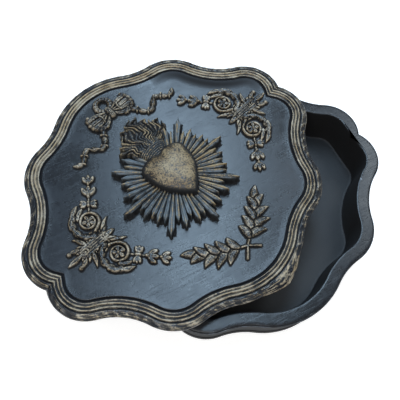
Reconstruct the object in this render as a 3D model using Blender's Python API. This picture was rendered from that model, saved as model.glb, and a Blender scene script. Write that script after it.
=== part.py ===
"""Ex-voto box: a scalloped box with a loose lid and five applied castings on the lid.

Metres, +Z up. The origin is on the underside of the box, at its centre, and the notches of
the box's outline lie on the X axis. The lid rests askew on the box's rim, as found.
"""
import bpy
import bmesh
from math import atan2, cos, exp, hypot, pi, radians, sin, sqrt, tan, tau
from mathutils import Matrix

for old in list(bpy.data.objects):
    bpy.data.objects.remove(old, do_unlink=True)

# Gap between touching pieces
SEAT_GAP = 0.0003

# How much deeper each shape of a casting is rooted than the one before, as a share of its root
ROOT_STEP = 0.05

# Outline shared by box and lid: one quarter, made of tangent arcs between two notches
NOTCH_FLANK_LEAN = radians(30.6)
NOTCH_LOBE_X = 0.0866
NOTCH_LOBE_Y = 0.0126
NOTCH_LOBE_RADIUS = 0.0150
CORNER_LOBE_X = 0.0485
CORNER_LOBE_Y = 0.0515
CORNER_LOBE_RADIUS = 0.0203
END_LOBE_Y = 0.0440
END_LOBE_RADIUS = 0.0450
SIDE_HOLLOW_RADIUS = 0.0580
END_HOLLOW_RADIUS = 0.0600
NOTCH_REACH = NOTCH_LOBE_X - NOTCH_LOBE_Y * tan(NOTCH_FLANK_LEAN) + NOTCH_LOBE_RADIUS / cos(NOTCH_FLANK_LEAN)
END_REACH = END_LOBE_Y + END_LOBE_RADIUS

# Box: its inner wall follows the outline but runs straight past the notches
BOX_HEIGHT = 0.0360
WALL_THICKNESS = 0.0094
FLOOR_THICKNESS = 0.0050
WALL_DRAFT = 0.0015
RIM_LIP_HEIGHT = 0.0040
LIP_STEP = 0.0010
WALL_SETBACK = 0.0024
FOOT_SETBACK = 0.0018
FOOT_HEIGHT = 0.0070
EDGE_BREAK = 0.0006

# Lid: its field ends at the outline, and the mouldings stand outward from there
LID_FIELD_HEIGHT = 0.0120
LID_GROOVE_WIDTH = 0.0014
LID_GROOVE_DEPTH = 0.0014
LID_INNER_RIDGE_WIDTH = 0.0016
LID_RIDGE_WIDTH = 0.0024
LID_RIDGE_RISE = 0.0009
LID_BAND_WIDTH = 0.0047
LID_BAND_DROP = 0.0026
LID_BAND_GROOVE_DEPTH = 0.0010
LID_UNDERCUT = 0.0022
LID_EDGE_BREAK = 0.0006
LID_LIP_REACH = 0.0040
LID_LIP_WIDTH = 0.0300
LID_SHIFT_X = -0.0353
LID_SHIFT_Y = 0.0243
LID_TURN = radians(17.7)

# Sacred heart casting: a ring of gabled rays, a domed heart, a bound neck and flames
MEDALLION_X = 0.0010
MEDALLION_Y = -0.0010
MEDALLION_TURN = radians(-2.0)
RAY_COUNT = 48
LONG_RAY = 0.0440
SIDE_RAY = 0.0352
MIDDLE_RAY = 0.03784
SHORT_RAY = 0.03388
RAY_LENGTHS = (LONG_RAY, SIDE_RAY, MIDDLE_RAY, SHORT_RAY, MIDDLE_RAY, SIDE_RAY)
RAY_VALLEY_SHARE = 0.80
RAY_POINT_LENGTH = 0.0040
RAY_WIDTH_SHARE = 0.72
RAY_CREST_HEIGHT = 0.0080
RAY_VALLEY_HEIGHT = 0.0060
HUB_RADIUS = 0.0120
HEART_WIDTH = 0.0356
HEART_SHOULDER_Y = 0.0096
HEART_LOBE_RISE = 0.0096
HEART_CLEFT_DEPTH = 0.0025
HEART_CLEFT_WIDTH = 0.0038
HEART_TAPER = 0.0313
HEART_TAPER_POWER = 2.2
HEART_SIDE_HEIGHT = 0.0100
HEART_CROWN_HEIGHT = 0.0155
HEART_SIDES = 32
NECK_FOOT_Y = 0.0140
NECK_TOP_Y = 0.0290
NECK_FOOT_WIDTH = 0.0150
NECK_TOP_WIDTH = 0.0230
NECK_HEIGHT = 0.0100
CORD_COUNT = 3
CORD_WIDTH = 0.0017
CORD_RISE = 0.0010
FLAME_COUNT = 11
FLAME_FAN = radians(152.0)
FLAME_REACH_X = 0.0215
FLAME_REACH_Y = 0.0260
FLAME_WIDTH = 0.0060
FLAME_HEIGHT = 0.0115
FLAME_SWAY = 0.0013

# Ribbon bow casting
BOW_X = 0.0035
BOW_INSET = 0.0195
BOW_HEIGHT = 0.0032
KNOT_LENGTH = 0.0060
KNOT_WIDTH = 0.0052
BOW_LOOP_REACH = 0.0165
BOW_LOOP_RISE = 0.0045
BOW_LOOP_FALL = 0.0070
TOP_LOOP_RADIUS = 0.0056
TOP_LOOP_OPENING = radians(24.0)
RIBBON_WIDTH = 0.0042
TAIL_START = 0.0095
TAIL_END = 0.0465
TAIL_LEVEL = -0.0155
TAIL_WAVE = 0.0032
TAIL_CREST = 0.0325
TAIL_PITCH = 0.0190
TAIL_SWEEP = 0.0080
TAIL_SWEEP_RUN = 0.0080

# Scroll corner casting, used on both sides
RIGHT_CORNER_INSET = 0.0255
RIGHT_CORNER_Y = 0.0026
LEFT_CORNER_INSET = 0.0308
LEFT_CORNER_Y = 0.0004
SCROLL_HEIGHT = 0.0034
SCROLL_X = -0.0035
SCROLL_Y = 0.0148
SCROLL_RADIUS = 0.0070
SCROLL_BAND = 0.0034
SCROLL_TURNS = 1.60
OUTER_LEAF_RADIUS = 0.0110
OUTER_LEAF_TIP = 0.0085
TRUNK_INNER = -0.0050
TRUNK_OUTER = 0.0120
TRUNK_WIDTH = 0.0096
COLLAR_WIDTH = 0.0022
PETAL_WIDTH = 0.0052
FLEURON_REACH = 0.0132
FLEURON_SIDE_REACH = 0.0104
FLEURON_SPREAD = radians(38.0)
SPRAY_REACH = 0.0090
SPRAY_WIDTH = 0.0036
SPRAY_BOW = 0.0010
SPUR_REACH = 0.0126
SPUR_BOW = 0.0008
CHAIN_ANGLE = radians(129.0)
CHAIN_WIDTH = 0.0020
CHAIN_LENGTH = 0.0310
PENDANT_PITCH = 0.0094
PENDANT_LENGTH = 0.0076
PENDANT_WIDTH = 0.0070
BOWTIE_LENGTH = 0.0098
BOWTIE_WIDTH = 0.0056

# Laurel casting
LAUREL_INSET = 0.0195
LAUREL_HEIGHT = 0.0028
LAUREL_REACH = 0.0270
LAUREL_RISE = 0.0165
LAUREL_BOW = 0.0030
LAUREL_STEM_WIDTH = 0.0016
LAUREL_TAIL = 0.0085
LAUREL_LEAF_PAIRS = 4
LAUREL_LEAF_LENGTH = 0.0125
LAUREL_LEAF_WIDTH = 0.0044
LAUREL_LEAF_ANGLE = radians(38.0)


def polar(radius, angle):
    return (radius * cos(angle), radius * sin(angle))


def moved(point, step):
    return (point[0] + step[0], point[1] + step[1])


def direction(start, end):
    return atan2(end[1] - start[1], end[0] - start[0])


def arc(centre, radius, start, end, steps):
    """Points along an arc, without its last point, taking the short way round."""
    sweep = (end - start + pi) % tau - pi
    return [moved(centre, polar(radius, start + sweep * step / steps)) for step in range(steps)]


def hollow_centre(first, first_radius, second, second_radius, hollow_radius):
    """Centre of the hollow arc that touches two lobes from outside."""
    reach_first = first_radius + hollow_radius
    reach_second = second_radius + hollow_radius
    span = hypot(second[0] - first[0], second[1] - first[1])
    along = (span ** 2 + reach_first ** 2 - reach_second ** 2) / (2 * span)
    across = sqrt(reach_first ** 2 - along ** 2)
    ux = (second[0] - first[0]) / span
    uy = (second[1] - first[1]) / span
    return (first[0] + ux * along + uy * across, first[1] + uy * along - ux * across)


def outline(offset, flank_lean=NOTCH_FLANK_LEAN):
    """Closed scalloped outline, moved outward by offset, anticlockwise from the +X notch.

    With a flank_lean of zero a straight edge runs past each notch.
    """
    notch_x = NOTCH_LOBE_X - NOTCH_LOBE_Y * tan(flank_lean) + (NOTCH_LOBE_RADIUS + offset) / cos(flank_lean)
    notch_lobe = (NOTCH_LOBE_X, NOTCH_LOBE_Y)
    corner_lobe = (CORNER_LOBE_X, CORNER_LOBE_Y)
    end_lobe = (0.0, END_LOBE_Y)
    side_hollow = hollow_centre(notch_lobe, NOTCH_LOBE_RADIUS, corner_lobe,
                                CORNER_LOBE_RADIUS, SIDE_HOLLOW_RADIUS)
    end_hollow = hollow_centre(corner_lobe, CORNER_LOBE_RADIUS, end_lobe,
                               END_LOBE_RADIUS, END_HOLLOW_RADIUS)
    quarter = [(notch_x, 0.0)]
    quarter += arc(notch_lobe, NOTCH_LOBE_RADIUS + offset, -flank_lean,
                   direction(notch_lobe, side_hollow), 4)
    quarter += arc(side_hollow, SIDE_HOLLOW_RADIUS - offset,
                   direction(side_hollow, notch_lobe), direction(side_hollow, corner_lobe), 3)
    quarter += arc(corner_lobe, CORNER_LOBE_RADIUS + offset,
                   direction(corner_lobe, side_hollow), direction(corner_lobe, end_hollow), 4)
    quarter += arc(end_hollow, END_HOLLOW_RADIUS - offset,
                   direction(end_hollow, corner_lobe), direction(end_hollow, end_lobe), 3)
    quarter += arc(end_lobe, END_LOBE_RADIUS + offset,
                   direction(end_lobe, end_hollow), pi / 2, 3)
    top = [(0.0, END_REACH + offset)]
    upper = quarter + top + [(-x, y) for x, y in reversed(quarter)]
    lower = [(x, -y) for x, y in reversed(upper[1:-1])]
    return upper + lower


def material(name, colour, roughness, metallic):
    finish = bpy.data.materials.new(name)
    finish.use_nodes = True
    shader = finish.node_tree.nodes["Principled BSDF"]
    shader.inputs["Base Color"].default_value = (*colour, 1.0)
    shader.inputs["Roughness"].default_value = roughness
    shader.inputs["Metallic"].default_value = metallic
    return finish


def add_object(name, builder, finish):
    """Link a named object made from a closed bmesh, with its faces turned outward."""
    bmesh.ops.recalc_face_normals(builder, faces=builder.faces)
    mesh = bpy.data.meshes.new(name)
    builder.to_mesh(mesh)
    builder.free()
    mesh.shade_smooth()
    mesh.set_sharp_from_angle(angle=radians(32.0))
    mesh.materials.append(finish)
    placed = bpy.data.objects.new(name, mesh)
    bpy.context.scene.collection.objects.link(placed)
    return placed


def stacked_loops(builder, loops):
    """Join closed loops of equal length into a skin, with flat caps on the first and last."""
    rings = []
    for points, height in loops:
        rings.append([builder.verts.new((x, y, height)) for x, y in points])
    for lower, upper in zip(rings, rings[1:]):
        count = len(lower)
        for index in range(count):
            following = (index + 1) % count
            builder.faces.new((lower[index], lower[following], upper[following], upper[index]))
    builder.faces.new(rings[0])
    builder.faces.new(rings[-1])


def make_box(finish):
    """The box: its outside follows the notches, and its inside runs straight past them."""
    rim = BOX_HEIGHT
    lip_foot = rim - RIM_LIP_HEIGHT
    outer = WALL_THICKNESS
    outside = [
        (outer - FOOT_SETBACK - EDGE_BREAK, 0.0),
        (outer - FOOT_SETBACK, EDGE_BREAK),
        (outer - FOOT_SETBACK, FOOT_HEIGHT - EDGE_BREAK),
        (outer - WALL_SETBACK, FOOT_HEIGHT),
        (outer - WALL_SETBACK, lip_foot - EDGE_BREAK),
        (outer - EDGE_BREAK, lip_foot),
        (outer, lip_foot + EDGE_BREAK),
        (outer, rim - LIP_STEP),
        (outer - LIP_STEP, rim - LIP_STEP),
        (outer - LIP_STEP, rim),
    ]
    inside = [(0.0, rim), (-WALL_DRAFT, FLOOR_THICKNESS)]
    loops = [(outline(offset), height) for offset, height in outside]
    loops += [(outline(offset, flank_lean=0.0), height) for offset, height in inside]
    builder = bmesh.new()
    stacked_loops(builder, loops)
    return add_object("box", builder, finish)


def with_lip(points, reach):
    """Draw the middle of the near end out into a blunt lip."""
    lipped = []
    for x, y in points:
        share = max(0.0, 1.0 - abs(x) / (LID_LIP_WIDTH / 2))
        lipped.append((x, y - reach * share if y < 0.0 else y))
    return lipped


def make_lid(finish):
    """The lid in its own frame: underside at z = 0, centred on its own outline."""
    field = LID_FIELD_HEIGHT
    ridge_start = LID_GROOVE_WIDTH / 2 + LID_INNER_RIDGE_WIDTH
    second_start = ridge_start + LID_RIDGE_WIDTH
    band_start = second_start + LID_RIDGE_WIDTH
    edge = band_start + LID_BAND_WIDTH
    band = [
        (edge - LID_UNDERCUT, 0.0, 0.7),
        (edge - LID_UNDERCUT * 0.75, LID_EDGE_BREAK, 0.8),
        (edge, field - LID_BAND_DROP, 1.0),
        (edge - LID_BAND_WIDTH * 0.10, field - LID_BAND_DROP * 0.45, 0.9),
        (edge - LID_BAND_WIDTH * 0.45, field, 0.4),
    ]
    ridges = [
        (band_start + LID_BAND_WIDTH * 0.15, field),
        (band_start, field - LID_BAND_GROOVE_DEPTH),
        (second_start + LID_RIDGE_WIDTH / 2, field + LID_RIDGE_RISE * 0.6),
        (second_start, field),
        (ridge_start + LID_RIDGE_WIDTH / 2, field + LID_RIDGE_RISE),
        (ridge_start, field),
        (LID_GROOVE_WIDTH / 2, field + LID_RIDGE_RISE / 4),
        (0.0, field - LID_GROOVE_DEPTH),
        (-LID_GROOVE_WIDTH / 2, field),
    ]
    loops = [(with_lip(outline(offset), LID_LIP_REACH * lip), height) for offset, height, lip in band]
    loops += [(outline(offset), height) for offset, height in ridges]
    builder = bmesh.new()
    stacked_loops(builder, loops)
    return add_object("lid", builder, finish)


def tongue(builder, spine, half_width, crest, root):
    """A closed ridge along a spine: gabled top and upright sides that go down to -root.

    half_width and crest are functions of the share of the way along the spine.
    """
    last = len(spine) - 1
    rings = []
    for index, (x, y) in enumerate(spine):
        heading = direction(spine[max(index - 1, 0)], spine[min(index + 1, last)])
        wide = half_width(index / last)
        high = crest(index / last)
        section = [(-wide, -root), (-wide, high * 0.45), (0.0, high), (wide, high * 0.45), (wide, -root)]
        rings.append([builder.verts.new((x - sin(heading) * side, y + cos(heading) * side, height))
                      for side, height in section])
    for lower, upper in zip(rings, rings[1:]):
        count = len(lower)
        for index in range(count):
            following = (index + 1) % count
            builder.faces.new((lower[index], upper[index], upper[following], lower[following]))
    builder.faces.new(rings[0])
    builder.faces.new(list(reversed(rings[-1])))


def leaf_width(width):
    """Half width of a leaf that is widest near its foot third and pointed at its tip."""
    def half_width(share):
        return width / 2 * max(0.12, sin(pi * (0.16 + 0.80 * share)) ** 0.8)
    return half_width


def steady(value):
    def same(share):
        return value
    return same


def falling(start, end):
    def between(share):
        return start + (end - start) * share
    return between


def bowed(start, end, bow, steps):
    """Points from start to end, bowed to the left by bow at the middle."""
    heading = direction(start, end)
    points = []
    for step in range(steps + 1):
        share = step / steps
        lift = bow * sin(pi * share)
        x = start[0] + (end[0] - start[0]) * share - sin(heading) * lift
        y = start[1] + (end[1] - start[1]) * share + cos(heading) * lift
        points.append((x, y))
    return points


def casting(name, builder, finish, reach):
    """Merge a casting's overlapping shapes into one body with a flat back at z = 0."""
    slab_depth = reach / 2
    slab = bmesh.new()
    bmesh.ops.create_cube(slab, size=1.0)
    bmesh.ops.scale(slab, vec=(reach, reach, slab_depth), verts=slab.verts)
    bmesh.ops.translate(slab, vec=(0.0, 0.0, -slab_depth / 2), verts=slab.verts)
    cutter = add_object(name + "_back_cutter", slab, finish)
    cutter.hide_render = True
    cutter.display_type = "WIRE"
    raw = add_object(name, builder, finish)
    trim = raw.modifiers.new("flat_back", "BOOLEAN")
    trim.operation = "DIFFERENCE"
    trim.solver = "EXACT"
    trim.use_self = True
    trim.object = cutter
    return raw, cutter


def add_ray_star(builder, root):
    """The ring of gabled rays, as one pleated plate round the hub."""
    pitch = tau / RAY_COUNT
    half = RAY_WIDTH_SHARE * pitch / 2
    eaves = (RAY_CREST_HEIGHT + RAY_VALLEY_HEIGHT) / 2
    lengths = [RAY_LENGTHS[index % len(RAY_LENGTHS)] for index in range(RAY_COUNT)]

    def vertex(radius, angle, height):
        return builder.verts.new((*polar(radius, angle), height))

    rays = []
    for index, length in enumerate(lengths):
        angle = index * pitch
        shoulder = length - RAY_POINT_LENGTH
        valley = RAY_VALLEY_SHARE * min(length, lengths[index - 1])
        plan = [(valley, angle - pitch / 2), (shoulder, angle - half),
                (length, angle), (shoulder, angle + half)]
        heights = [RAY_VALLEY_HEIGHT, eaves, RAY_VALLEY_HEIGHT, eaves]
        rays.append({
            "valley_in": vertex(HUB_RADIUS, angle - pitch / 2, RAY_VALLEY_HEIGHT),
            "crest_in": vertex(HUB_RADIUS, angle, RAY_CREST_HEIGHT),
            "crest_out": vertex(shoulder, angle, RAY_CREST_HEIGHT),
            "rim": [vertex(*place, height) for place, height in zip(plan, heights)],
            "foot": [vertex(*place, -root) for place in plan],
        })
    hub_top = builder.verts.new((0.0, 0.0, RAY_VALLEY_HEIGHT))
    hub_foot = builder.verts.new((0.0, 0.0, -root))
    for index, ray in enumerate(rays):
        following = rays[(index + 1) % RAY_COUNT]
        valley, left, tip, right = ray["rim"]
        next_valley = following["rim"][0]
        next_valley_in = following["valley_in"]
        crest_in = ray["crest_in"]
        crest_out = ray["crest_out"]
        for corners in ((ray["valley_in"], valley, crest_in), (valley, crest_out, crest_in),
                        (valley, left, crest_out), (left, tip, crest_out),
                        (tip, right, crest_out), (right, next_valley, crest_out),
                        (next_valley, crest_in, crest_out), (next_valley, next_valley_in, crest_in),
                        (hub_top, ray["valley_in"], crest_in), (hub_top, crest_in, next_valley_in)):
            builder.faces.new(corners)
        rim = ray["rim"] + [next_valley]
        foot = ray["foot"] + [following["foot"][0]]
        for step in range(4):
            builder.faces.new((rim[step], foot[step], foot[step + 1], rim[step + 1]))
            builder.faces.new((hub_foot, foot[step + 1], foot[step]))


def heart_outline(inset):
    """The heart's outline, clockwise from its cleft, drawn in by the share inset."""
    keep = 1.0 - inset
    points = []
    for step in range(HEART_SIDES):
        angle = tau * step / HEART_SIDES
        x = HEART_WIDTH / 2 * sin(angle)
        fall = -cos(angle)
        if fall <= 0.0:
            cleft = HEART_CLEFT_DEPTH * exp(-(x / HEART_CLEFT_WIDTH) ** 2)
            y = HEART_SHOULDER_Y + HEART_LOBE_RISE * (-fall) ** 0.6 - cleft
        else:
            side = 1.0 if x > 0.0 else -1.0
            x = side * HEART_WIDTH / 2 * (1.0 - fall ** HEART_TAPER_POWER)
            y = HEART_SHOULDER_Y - HEART_TAPER * fall
        points.append((x * keep, y * keep))
    return points


def add_heart(builder, root):
    rise = HEART_CROWN_HEIGHT - HEART_SIDE_HEIGHT
    levels = [(0.0, -root), (0.0, HEART_SIDE_HEIGHT)]
    for inset in (0.08, 0.25, 0.52):
        levels.append((inset, HEART_SIDE_HEIGHT + rise * sqrt(1.0 - (1.0 - inset) ** 2)))
    stacked_loops(builder, [(heart_outline(inset), height) for inset, height in levels])


def add_neck(builder, root):
    """The neck that flares upward out of the heart, bound with cords under the flames."""
    middle = (NECK_FOOT_Y + NECK_TOP_Y) / 2
    tongue(builder, [(0.0, NECK_FOOT_Y), (0.0, middle), (0.0, NECK_TOP_Y)],
           falling(NECK_FOOT_WIDTH / 2, NECK_TOP_WIDTH / 2), steady(NECK_HEIGHT), root)
    for index in range(CORD_COUNT):
        level = NECK_TOP_Y - CORD_WIDTH * (0.6 + 1.15 * index)
        share = (level - NECK_FOOT_Y) / (NECK_TOP_Y - NECK_FOOT_Y)
        half = (NECK_FOOT_WIDTH + (NECK_TOP_WIDTH - NECK_FOOT_WIDTH) * share) / 2 + CORD_WIDTH / 3
        tongue(builder, bowed((half, level), (-half, level), -CORD_WIDTH * 0.7, 4),
               steady(CORD_WIDTH / 2), steady(NECK_HEIGHT + CORD_RISE), root * (1.1 + 2 * ROOT_STEP * index))


def add_flames(builder, root):
    """Tongues of fire that fan out of the neck, each with a slow wave."""
    foot_y = NECK_TOP_Y - CORD_WIDTH
    for index in range(FLAME_COUNT):
        share = index / (FLAME_COUNT - 1) - 0.5
        reach = 1.0 if index % 2 == 0 else 0.82
        start = (share * NECK_TOP_WIDTH * 0.85, foot_y)
        fan = pi / 2 - share * FLAME_FAN
        tip = (FLAME_REACH_X * reach * cos(fan), foot_y + FLAME_REACH_Y * reach * sin(fan))
        heading = direction(start, tip)
        spine = []
        for step in range(5):
            along = step / 4
            sway = FLAME_SWAY * sin(tau * (0.8 * along + 0.13 * index)) * along
            x = start[0] + (tip[0] - start[0]) * along - sin(heading) * sway
            y = start[1] + (tip[1] - start[1]) * along + cos(heading) * sway
            spine.append((x, y))
        height = FLAME_HEIGHT * (1.0 - 0.09 * (index % 3))
        tongue(builder, spine, leaf_width(FLAME_WIDTH), falling(height, 0.62 * height),
               root * (1.0 + ROOT_STEP * index))


def make_sacred_heart(finish):
    root = RAY_VALLEY_HEIGHT / 3
    builder = bmesh.new()
    add_ray_star(builder, root)
    add_heart(builder, root * 1.3)
    add_neck(builder, root * 1.6)
    add_flames(builder, root * 2.2)
    return casting("sacred_heart", builder, finish, 4 * LONG_RAY)


def bow_tail(side):
    """The ribbon's tail: it leaves the knot on a slope and then hangs in a wave."""
    spine = [(0.0, 0.0)]
    steps = 12
    for step in range(steps + 1):
        reach = TAIL_START + (TAIL_END - TAIL_START) * step / steps
        wave = TAIL_WAVE * cos(tau * (reach - TAIL_CREST) / TAIL_PITCH)
        lift = TAIL_SWEEP * max(0.0, 1.0 - (reach - TAIL_START) / TAIL_SWEEP_RUN)
        spine.append((side * reach, TAIL_LEVEL + wave + lift))
    return spine


def make_ribbon_bow(finish):
    root = BOW_HEIGHT / 2
    builder = bmesh.new()
    tongue(builder, [(-KNOT_LENGTH / 2, 0.0), (0.0, 0.0), (KNOT_LENGTH / 2, 0.0)],
           steady(KNOT_WIDTH / 2), steady(BOW_HEIGHT * 1.25), root)
    for side in (1, -1):
        upper_end = (side * BOW_LOOP_REACH, BOW_LOOP_RISE)
        lower_end = (side * BOW_LOOP_REACH * 0.86, -BOW_LOOP_FALL)
        middle_end = (side * BOW_LOOP_REACH * 0.9, (BOW_LOOP_RISE - BOW_LOOP_FALL) / 2)
        strands = [
            (bowed((0.0, 0.0), upper_end, side * RIBBON_WIDTH * 0.2, 4), 0.40, 1.0),
            (bowed((0.0, 0.0), middle_end, 0.0, 3), 0.46, 0.75),
            (bowed((0.0, 0.0), lower_end, -side * RIBBON_WIDTH * 0.2, 4), 0.40, 0.9),
            (bowed(upper_end, lower_end, side * RIBBON_WIDTH * 0.3, 4), 0.40, 1.05),
            (bow_tail(side), 0.42, 0.8),
        ]
        for index, (spine, width, rise) in enumerate(strands):
            tongue(builder, spine, steady(RIBBON_WIDTH * width), steady(BOW_HEIGHT * rise),
                   root * (1.1 + ROOT_STEP * (2 * index + 0.6 * side)))
    ring = []
    for step in range(11):
        angle = TOP_LOOP_OPENING / 2 - pi / 2 + (tau - TOP_LOOP_OPENING) * step / 10
        ring.append(moved((0.0, KNOT_WIDTH / 3 + TOP_LOOP_RADIUS), polar(TOP_LOOP_RADIUS, angle)))
    tongue(builder, ring, steady(RIBBON_WIDTH * 0.42), steady(BOW_HEIGHT * 0.92), root * 1.9)
    return casting("ribbon_bow", builder, finish, 4 * TAIL_END)


def spiral(centre, start_radius, end_radius, start, turns, steps):
    points = []
    for step in range(steps + 1):
        share = step / steps
        radius = start_radius + (end_radius - start_radius) * share ** 2
        points.append(moved(centre, polar(radius, start + tau * turns * share)))
    return points


def corner_side_shapes():
    """Spine, half width and height share of each shape on the +Y half of a scroll corner."""
    centre = (SCROLL_X, SCROLL_Y)

    def on_chain(reach):
        return moved(centre, polar(reach, CHAIN_ANGLE))

    stem_foot = (TRUNK_OUTER / 3, TRUNK_WIDTH * 0.42)
    scroll = spiral(centre, SCROLL_RADIUS, SCROLL_RADIUS * 0.2, radians(-110.0), -SCROLL_TURNS, 12)
    leaf_start = radians(-66.0)
    leaf_end = CHAIN_ANGLE - radians(70.0)
    outer_leaf = arc(centre, OUTER_LEAF_RADIUS, leaf_start, leaf_end, 5)
    leaf_shoulder = moved(centre, polar(OUTER_LEAF_RADIUS, leaf_end))
    outer_leaf.append(leaf_shoulder)
    outer_leaf.append(moved(leaf_shoulder, polar(OUTER_LEAF_TIP, leaf_end + pi / 2)))
    bowtie = on_chain(CHAIN_LENGTH - 2 * PENDANT_PITCH)
    half_bowtie = BOWTIE_LENGTH / 2
    shapes = [
        (bowed((TRUNK_INNER, COLLAR_WIDTH / 2), (TRUNK_INNER - SPRAY_REACH, SPRAY_REACH), -SPRAY_BOW, 3),
         leaf_width(SPRAY_WIDTH), 0.75),
        (bowed((TRUNK_OUTER - PETAL_WIDTH / 2, 0.0), (TRUNK_OUTER, SPUR_REACH), SPUR_BOW, 3),
         leaf_width(PETAL_WIDTH * 0.8), 0.8),
        ([stem_foot] + scroll, falling(SCROLL_BAND * 0.5, SCROLL_BAND * 0.4), 0.9),
        (outer_leaf, leaf_width(SCROLL_BAND * 1.2), 0.95),
        ([on_chain(SCROLL_RADIUS), on_chain(CHAIN_LENGTH)], steady(CHAIN_WIDTH / 2), 0.5),
        ([moved(bowtie, polar(half_bowtie, CHAIN_ANGLE + pi / 2)), bowtie,
          moved(bowtie, polar(half_bowtie, CHAIN_ANGLE - pi / 2))], steady(BOWTIE_WIDTH / 2), 0.8),
    ]
    for index in range(2):
        middle = CHAIN_LENGTH - PENDANT_PITCH * index
        shapes.append(([on_chain(middle + PENDANT_LENGTH * share) for share in (-0.5, -0.2, 0.15, 0.5)],
                       leaf_width(PENDANT_WIDTH * (1.0 + 0.12 * index)), 0.85))
    return shapes


def make_scroll_corner(name, finish):
    """Acanthus corner piece, symmetric about its own X axis, with +X pointing outward."""
    root = SCROLL_HEIGHT / 2
    builder = bmesh.new()
    tongue(builder, bowed((TRUNK_INNER, 0.0), (TRUNK_OUTER, 0.0), 0.0, 3),
           falling(TRUNK_WIDTH * 0.40, TRUNK_WIDTH * 0.5), steady(SCROLL_HEIGHT * 1.1), root)
    tongue(builder, [(TRUNK_INNER, -TRUNK_WIDTH / 2), (TRUNK_INNER, 0.0), (TRUNK_INNER, TRUNK_WIDTH / 2)],
           steady(COLLAR_WIDTH / 2), steady(SCROLL_HEIGHT * 1.2), root * 1.1)
    for index, heading in enumerate((-FLEURON_SPREAD, 0.0, FLEURON_SPREAD)):
        reach = FLEURON_REACH if heading == 0.0 else FLEURON_SIDE_REACH
        petal_foot = (TRUNK_OUTER - PETAL_WIDTH / 3, 0.0)
        tongue(builder, bowed(petal_foot, moved((TRUNK_OUTER, 0.0), polar(reach, heading)), 0.0, 3),
               leaf_width(PETAL_WIDTH), steady(SCROLL_HEIGHT * 0.8), root * (1.2 + 2 * ROOT_STEP * index))
    for index, (spine, half_width, rise) in enumerate(corner_side_shapes()):
        other_side = [(x, -y) for x, y in spine]
        crest = steady(SCROLL_HEIGHT * rise)
        tongue(builder, spine, half_width, crest, root * (1.5 + ROOT_STEP * index))
        tongue(builder, other_side, half_width, crest, root * (1.5 + ROOT_STEP * (index + 0.4)))
    return casting(name, builder, finish, 8 * (TRUNK_OUTER + FLEURON_REACH))


def make_laurel(finish):
    """Two laurel branches with crossed stems, opening upward."""
    root = LAUREL_HEIGHT / 2
    steps = LAUREL_LEAF_PAIRS + 1
    builder = bmesh.new()
    for side in (1, -1):
        tail = (-side * LAUREL_TAIL * 0.7, -LAUREL_TAIL * 0.7)
        tip = (side * LAUREL_REACH, LAUREL_RISE)
        branch = bowed((0.0, 0.0), tip, -side * LAUREL_BOW, steps)
        depth = root * (1.3 + 0.3 * side)
        tongue(builder, [tail] + branch, steady(LAUREL_STEM_WIDTH / 2),
               steady(LAUREL_HEIGHT * (0.7 + 0.05 * side)), depth)
        for pair in range(LAUREL_LEAF_PAIRS):
            foot = branch[pair + 1 if pair else 1]
            heading = direction(branch[pair], branch[pair + 1])
            for lean in (1, -1):
                reach = polar(LAUREL_LEAF_LENGTH * (1.0 - 0.04 * pair),
                              heading + lean * LAUREL_LEAF_ANGLE)
                leaf = bowed(foot, moved(foot, reach), -lean * LAUREL_LEAF_WIDTH / 5, 3)
                tongue(builder, leaf, leaf_width(LAUREL_LEAF_WIDTH), steady(LAUREL_HEIGHT),
                       depth + root * ROOT_STEP * (0.8 * pair + 0.4 * lean))
    return casting("laurel_spray", builder, finish, 8 * LAUREL_REACH)


def seat_on_lid(casting_and_cutter, lid_frame, x, y, turn):
    """Seat a casting and its cutter on the lid's field."""
    seat = lid_frame @ Matrix.Translation((x, y, LID_FIELD_HEIGHT + SEAT_GAP))
    for placed in casting_and_cutter:
        placed.matrix_world = seat @ Matrix.Rotation(turn, 4, "Z")


def build():
    black = material("black_resin", (0.055, 0.062, 0.075), 0.38, 0.0)
    black_gilt = material("black_resin_gilt_edge", (0.075, 0.080, 0.090), 0.40, 0.0)
    dry_gilt = material("black_resin_dry_gilt", (0.130, 0.115, 0.090), 0.45, 0.15)
    heart_gilt = material("black_resin_gilt_heart", (0.200, 0.170, 0.110), 0.45, 0.35)
    make_box(black)
    lid = make_lid(black_gilt)
    lid_frame = (Matrix.Translation((LID_SHIFT_X, LID_SHIFT_Y, BOX_HEIGHT + SEAT_GAP))
                 @ Matrix.Rotation(LID_TURN, 4, "Z"))
    lid.matrix_world = lid_frame
    seat_on_lid(make_sacred_heart(heart_gilt), lid_frame, MEDALLION_X, MEDALLION_Y, MEDALLION_TURN)
    seat_on_lid(make_ribbon_bow(dry_gilt), lid_frame, BOW_X, END_REACH - BOW_INSET, 0.0)
    seat_on_lid(make_laurel(dry_gilt), lid_frame, 0.0, LAUREL_INSET - END_REACH, 0.0)
    seat_on_lid(make_scroll_corner("scroll_corner_right", dry_gilt), lid_frame,
                NOTCH_REACH - RIGHT_CORNER_INSET, RIGHT_CORNER_Y, 0.0)
    seat_on_lid(make_scroll_corner("scroll_corner_left", dry_gilt), lid_frame,
                LEFT_CORNER_INSET - NOTCH_REACH, LEFT_CORNER_Y, pi)


build()
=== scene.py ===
"""Ex-voto box in black resin: scalloped box, loose lid askew on it, and five castings on the lid."""
import bpy
import numpy as np
from math import atan2, cos, hypot, pi, radians, sin, sqrt, tan, tau
from mathutils import Matrix


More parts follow.
